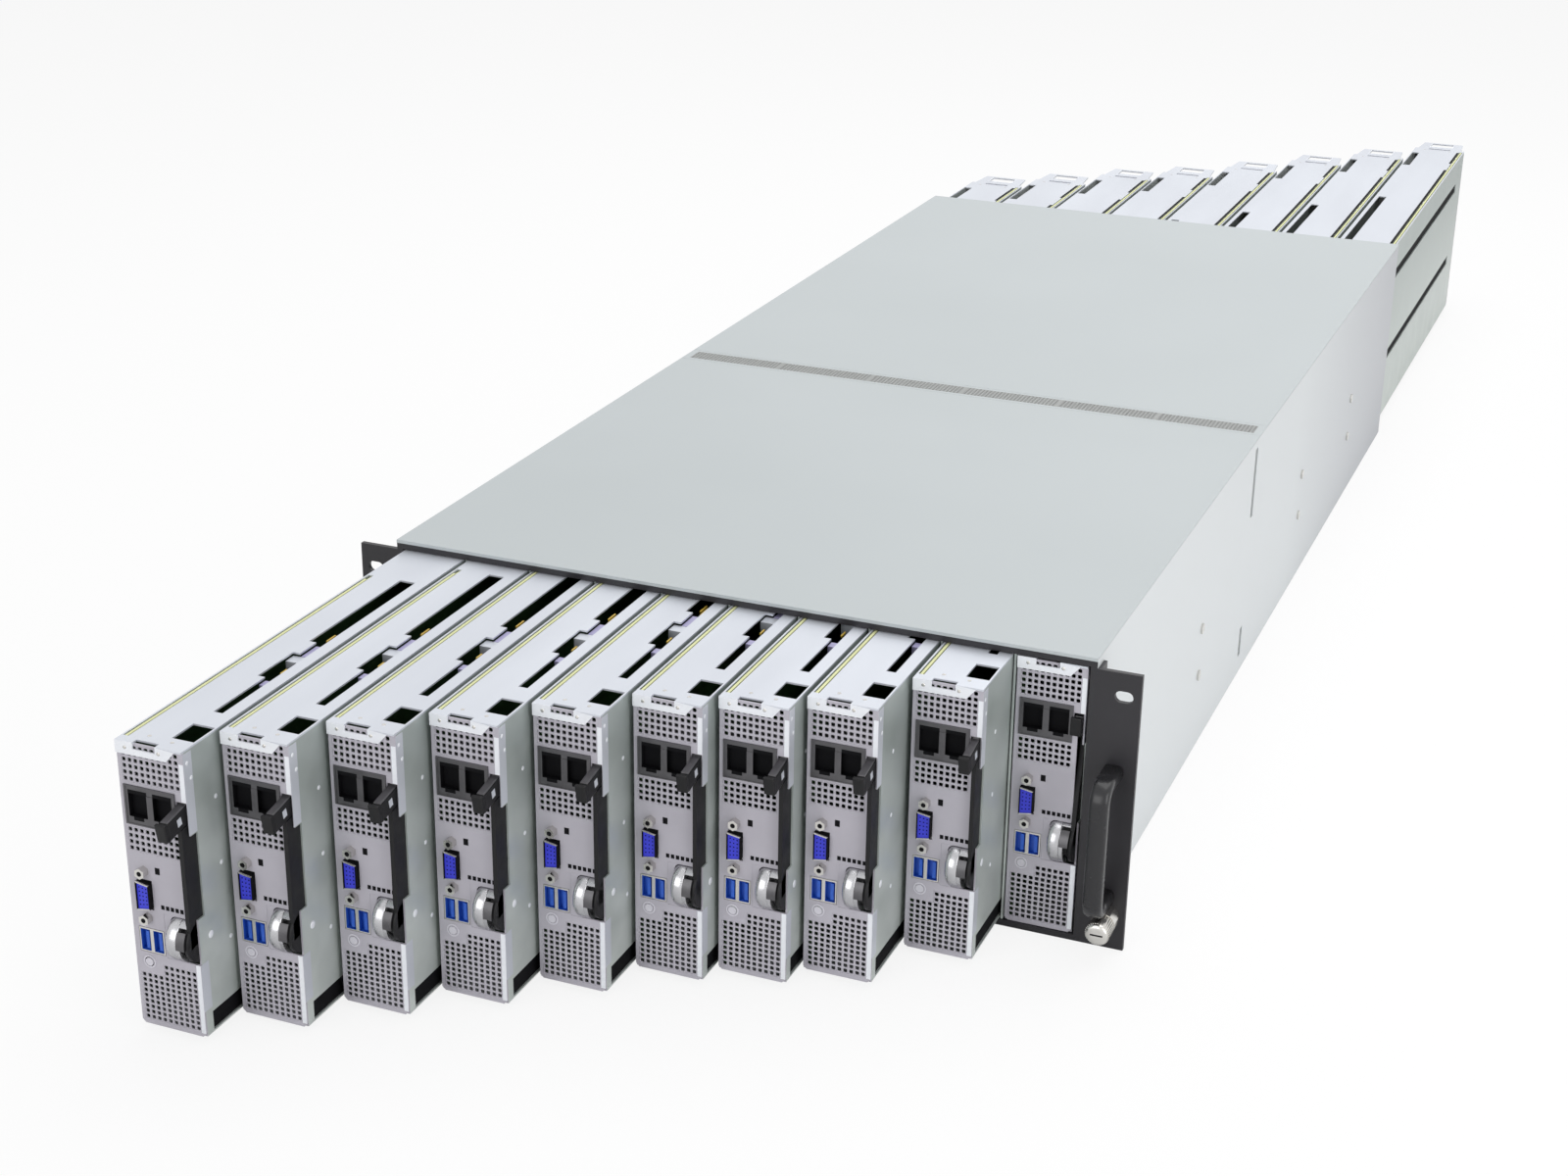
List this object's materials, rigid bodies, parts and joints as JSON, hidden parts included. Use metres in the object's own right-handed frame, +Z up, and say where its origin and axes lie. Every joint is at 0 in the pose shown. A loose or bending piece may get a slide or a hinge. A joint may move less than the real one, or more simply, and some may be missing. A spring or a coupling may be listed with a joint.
{
  "type": "multi-node rack server",
  "caption": "Rack-mount server case with compute sleds that slide out at the front and the rear, each with ports, vents and an ejector lever; ears carry handles and thumbscrews.",
  "frame": {"origin": "middle of the underside, in the plane of the rack ears' rear faces", "axes": "+X across to the right seen from the front, +Y back along the depth, +Z up"},
  "size_m": [0.4826, 1.7733, 0.1745],
  "materials": {
    "case_grey": "satin light grey",
    "dark_frame": "satin charcoal",
    "zinc_steel": "satin zinc plate",
    "face_grey": "satin lavender grey",
    "circuit_board": "solder mask",
    "black_plastic": "matt black",
    "handle_black": "semi-gloss black",
    "lever_metal": "satin die-cast",
    "nickel": "bright nickel"
  },
  "bodies": {
    "chassis": {"chassis_tray": "case_grey", "front_cover": "case_grey", "rear_cover": "case_grey", "vent_strip": "case_grey", "rail_studs": "nickel", "front_frame": "dark_frame", "rear_frame": "dark_frame", "rack_ears": "dark_frame", "front_bay_guides": "zinc_steel", "rear_bay_guides": "zinc_steel", "front_backplane": "circuit_board", "rear_backplane": "circuit_board", "backplane_sockets": "black_plastic", "ear_handles": "handle_black"},
    "left_thumbscrew": {"left_thumbscrew": "nickel"},
    "right_thumbscrew": {"right_thumbscrew": "nickel"},
    "front_sled_01": {"front_sled_01": "zinc_steel", "front_sled_01_face_panel": "face_grey", "front_sled_01_mainboard": "circuit_board", "front_sled_01_ports": "black_plastic"},
    "front_sled_01_lever": {"front_sled_01_lever": "lever_metal"},
    "front_sled_01_power_button": {"front_sled_01_power_button": "black_plastic"},
    "front_sled_02": {"front_sled_02": "zinc_steel"},
    "front_sled_02_lever": {"front_sled_02_lever": "lever_metal"},
    "front_sled_03": {"front_sled_03": "zinc_steel"},
    "front_sled_03_lever": {"front_sled_03_lever": "lever_metal"},
    "front_sled_04": {"front_sled_04": "zinc_steel"},
    "front_sled_04_lever": {"front_sled_04_lever": "lever_metal"},
    "front_sled_05": {"front_sled_05": "zinc_steel"},
    "front_sled_05_lever": {"front_sled_05_lever": "lever_metal"},
    "front_sled_06": {"front_sled_06": "zinc_steel"},
    "front_sled_06_lever": {"front_sled_06_lever": "lever_metal"},
    "front_sled_07": {"front_sled_07": "zinc_steel"},
    "front_sled_07_lever": {"front_sled_07_lever": "lever_metal"},
    "front_sled_08": {"front_sled_08": "zinc_steel"},
    "front_sled_08_lever": {"front_sled_08_lever": "lever_metal"},
    "front_sled_09": {"front_sled_09": "zinc_steel"},
    "front_sled_09_lever": {"front_sled_09_lever": "lever_metal"},
    "front_sled_10": {"front_sled_10": "zinc_steel"},
    "front_sled_10_lever": {"front_sled_10_lever": "lever_metal"},
    "rear_sled_01": {"rear_sled_01": "zinc_steel"},
    "rear_sled_01_lever": {"rear_sled_01_lever": "lever_metal"},
    "rear_sled_02": {"rear_sled_02": "zinc_steel"},
    "rear_sled_02_lever": {"rear_sled_02_lever": "lever_metal"},
    "rear_sled_03": {"rear_sled_03": "zinc_steel"},
    "rear_sled_03_lever": {"rear_sled_03_lever": "lever_metal"},
    "rear_sled_04": {"rear_sled_04": "zinc_steel"},
    "rear_sled_04_lever": {"rear_sled_04_lever": "lever_metal"},
    "rear_sled_05": {"rear_sled_05": "zinc_steel"},
    "rear_sled_05_lever": {"rear_sled_05_lever": "lever_metal"},
    "rear_sled_06": {"rear_sled_06": "zinc_steel"},
    "rear_sled_06_lever": {"rear_sled_06_lever": "lever_metal"},
    "rear_sled_07": {"rear_sled_07": "zinc_steel"},
    "rear_sled_07_lever": {"rear_sled_07_lever": "lever_metal"},
    "rear_sled_08": {"rear_sled_08": "zinc_steel"},
    "rear_sled_08_lever": {"rear_sled_08_lever": "lever_metal"}
  },
  "joints": [
    {"name": "left_screw_turn", "type": "hinge", "parent": "chassis", "child": "left_thumbscrew", "pos_m": [-0.2318, -0.01, 0.021], "axis": [0, -1, 0], "continuous": true},
    {"name": "right_screw_turn", "type": "hinge", "parent": "chassis", "child": "right_thumbscrew", "pos_m": [0.2318, -0.01, 0.021], "axis": [0, -1, 0], "continuous": true},
    {"name": "front_sled_01_slide", "type": "slide", "parent": "chassis", "child": "front_sled_01", "axis": [0, -1, 0], "range_m": [-0.284, 0.121]},
    {"name": "front_sled_01_lever_turn", "type": "hinge", "parent": "front_sled_01", "child": "front_sled_01_lever", "pos_m": [-0.1835, -0.281, 0.0598], "axis": [1, 0, 0], "range_deg": [-11, 49]},
    {"name": "front_sled_01_power_button_press", "type": "slide", "parent": "front_sled_01", "child": "front_sled_01_power_button", "axis": [0, 1, 0], "range_m": [0, 0.0008], "stiffness_N_per_m": 400},
    {"name": "front_sled_02_slide", "type": "slide", "parent": "chassis", "child": "front_sled_02", "axis": [0, -1, 0], "range_m": [-0.255, 0.15]},
    {"name": "front_sled_02_lever_turn", "type": "hinge", "parent": "front_sled_02", "child": "front_sled_02_lever", "pos_m": [-0.141, -0.252, 0.0598], "axis": [1, 0, 0], "range_deg": [-11, 49]},
    {"name": "front_sled_03_slide", "type": "slide", "parent": "chassis", "child": "front_sled_03", "axis": [0, -1, 0], "range_m": [-0.2235, 0.1815]},
    {"name": "front_sled_03_lever_turn", "type": "hinge", "parent": "front_sled_03", "child": "front_sled_03_lever", "pos_m": [-0.0985, -0.2205, 0.0598], "axis": [1, 0, 0], "range_deg": [-11, 49]},
    {"name": "front_sled_04_slide", "type": "slide", "parent": "chassis", "child": "front_sled_04", "axis": [0, -1, 0], "range_m": [-0.1935, 0.2115]},
    {"name": "front_sled_04_lever_turn", "type": "hinge", "parent": "front_sled_04", "child": "front_sled_04_lever", "pos_m": [-0.056, -0.1905, 0.0598], "axis": [1, 0, 0], "range_deg": [-11, 49]},
    {"name": "front_sled_05_slide", "type": "slide", "parent": "chassis", "child": "front_sled_05", "axis": [0, -1, 0], "range_m": [-0.1615, 0.2435]},
    {"name": "front_sled_05_lever_turn", "type": "hinge", "parent": "front_sled_05", "child": "front_sled_05_lever", "pos_m": [-0.0135, -0.1585, 0.0598], "axis": [1, 0, 0], "range_deg": [-11, 49]},
    {"name": "front_sled_06_slide", "type": "slide", "parent": "chassis", "child": "front_sled_06", "axis": [0, -1, 0], "range_m": [-0.13, 0.275]},
    {"name": "front_sled_06_lever_turn", "type": "hinge", "parent": "front_sled_06", "child": "front_sled_06_lever", "pos_m": [0.029, -0.127, 0.0598], "axis": [1, 0, 0], "range_deg": [-11, 49]},
    {"name": "front_sled_07_slide", "type": "slide", "parent": "chassis", "child": "front_sled_07", "axis": [0, -1, 0], "range_m": [-0.1145, 0.2905]},
    {"name": "front_sled_07_lever_turn", "type": "hinge", "parent": "front_sled_07", "child": "front_sled_07_lever", "pos_m": [0.0715, -0.1115, 0.0598], "axis": [1, 0, 0], "range_deg": [-11, 49]},
    {"name": "front_sled_08_slide", "type": "slide", "parent": "chassis", "child": "front_sled_08", "axis": [0, -1, 0], "range_m": [-0.096, 0.309]},
    {"name": "front_sled_08_lever_turn", "type": "hinge", "parent": "front_sled_08", "child": "front_sled_08_lever", "pos_m": [0.114, -0.093, 0.0598], "axis": [1, 0, 0], "range_deg": [-11, 49]},
    {"name": "front_sled_09_slide", "type": "slide", "parent": "chassis", "child": "front_sled_09", "axis": [0, -1, 0], "range_m": [-0.051, 0.354]},
    {"name": "front_sled_09_lever_turn", "type": "hinge", "parent": "front_sled_09", "child": "front_sled_09_lever", "pos_m": [0.1565, -0.048, 0.0598], "axis": [1, 0, 0], "range_deg": [-11, 49]},
    {"name": "front_sled_10_slide", "type": "slide", "parent": "chassis", "child": "front_sled_10", "axis": [0, -1, 0], "range_m": [0, 0.405]},
    {"name": "front_sled_10_lever_turn", "type": "hinge", "parent": "front_sled_10", "child": "front_sled_10_lever", "pos_m": [0.199, 0.003, 0.0598], "axis": [1, 0, 0], "range_deg": [0, 60]},
    {"name": "rear_sled_01_slide", "type": "slide", "parent": "chassis", "child": "rear_sled_01", "axis": [0, 1, 0], "range_m": [-0.097, 0.453]},
    {"name": "rear_sled_01_lever_turn", "type": "hinge", "parent": "rear_sled_01", "child": "rear_sled_01_lever", "pos_m": [-0.199, 1.078, 0.0598], "axis": [-1, 0, 0], "range_deg": [-11, 49]},
    {"name": "rear_sled_02_slide", "type": "slide", "parent": "chassis", "child": "rear_sled_02", "axis": [0, 1, 0], "range_m": [-0.135, 0.415]},
    {"name": "rear_sled_02_lever_turn", "type": "hinge", "parent": "rear_sled_02", "child": "rear_sled_02_lever", "pos_m": [-0.14588, 1.116, 0.0598], "axis": [-1, 0, 0], "range_deg": [-11, 49]},
    {"name": "rear_sled_03_slide", "type": "slide", "parent": "chassis", "child": "rear_sled_03", "axis": [0, 1, 0], "range_m": [-0.185, 0.365]},
    {"name": "rear_sled_03_lever_turn", "type": "hinge", "parent": "rear_sled_03", "child": "rear_sled_03_lever", "pos_m": [-0.09275, 1.166, 0.0598], "axis": [-1, 0, 0], "range_deg": [-11, 49]},
    {"name": "rear_sled_04_slide", "type": "slide", "parent": "chassis", "child": "rear_sled_04", "axis": [0, 1, 0], "range_m": [-0.222, 0.328]},
    {"name": "rear_sled_04_lever_turn", "type": "hinge", "parent": "rear_sled_04", "child": "rear_sled_04_lever", "pos_m": [-0.03963, 1.203, 0.0598], "axis": [-1, 0, 0], "range_deg": [-11, 49]},
    {"name": "rear_sled_05_slide", "type": "slide", "parent": "chassis", "child": "rear_sled_05", "axis": [0, 1, 0], "range_m": [-0.275, 0.275]},
    {"name": "rear_sled_05_lever_turn", "type": "hinge", "parent": "rear_sled_05", "child": "rear_sled_05_lever", "pos_m": [0.0135, 1.256, 0.0598], "axis": [-1, 0, 0], "range_deg": [-11, 49]},
    {"name": "rear_sled_06_slide", "type": "slide", "parent": "chassis", "child": "rear_sled_06", "axis": [0, 1, 0], "range_m": [-0.335, 0.215]},
    {"name": "rear_sled_06_lever_turn", "type": "hinge", "parent": "rear_sled_06", "child": "rear_sled_06_lever", "pos_m": [0.06663, 1.316, 0.0598], "axis": [-1, 0, 0], "range_deg": [-11, 49]},
    {"name": "rear_sled_07_slide", "type": "slide", "parent": "chassis", "child": "rear_sled_07", "axis": [0, 1, 0], "range_m": [-0.393, 0.157]},
    {"name": "rear_sled_07_lever_turn", "type": "hinge", "parent": "rear_sled_07", "child": "rear_sled_07_lever", "pos_m": [0.11975, 1.374, 0.0598], "axis": [-1, 0, 0], "range_deg": [-11, 49]},
    {"name": "rear_sled_08_slide", "type": "slide", "parent": "chassis", "child": "rear_sled_08", "axis": [0, 1, 0], "range_m": [-0.455, 0.095]},
    {"name": "rear_sled_08_lever_turn", "type": "hinge", "parent": "rear_sled_08", "child": "rear_sled_08_lever", "pos_m": [0.17288, 1.436, 0.0598], "axis": [-1, 0, 0], "range_deg": [-11, 49]}
  ]
}
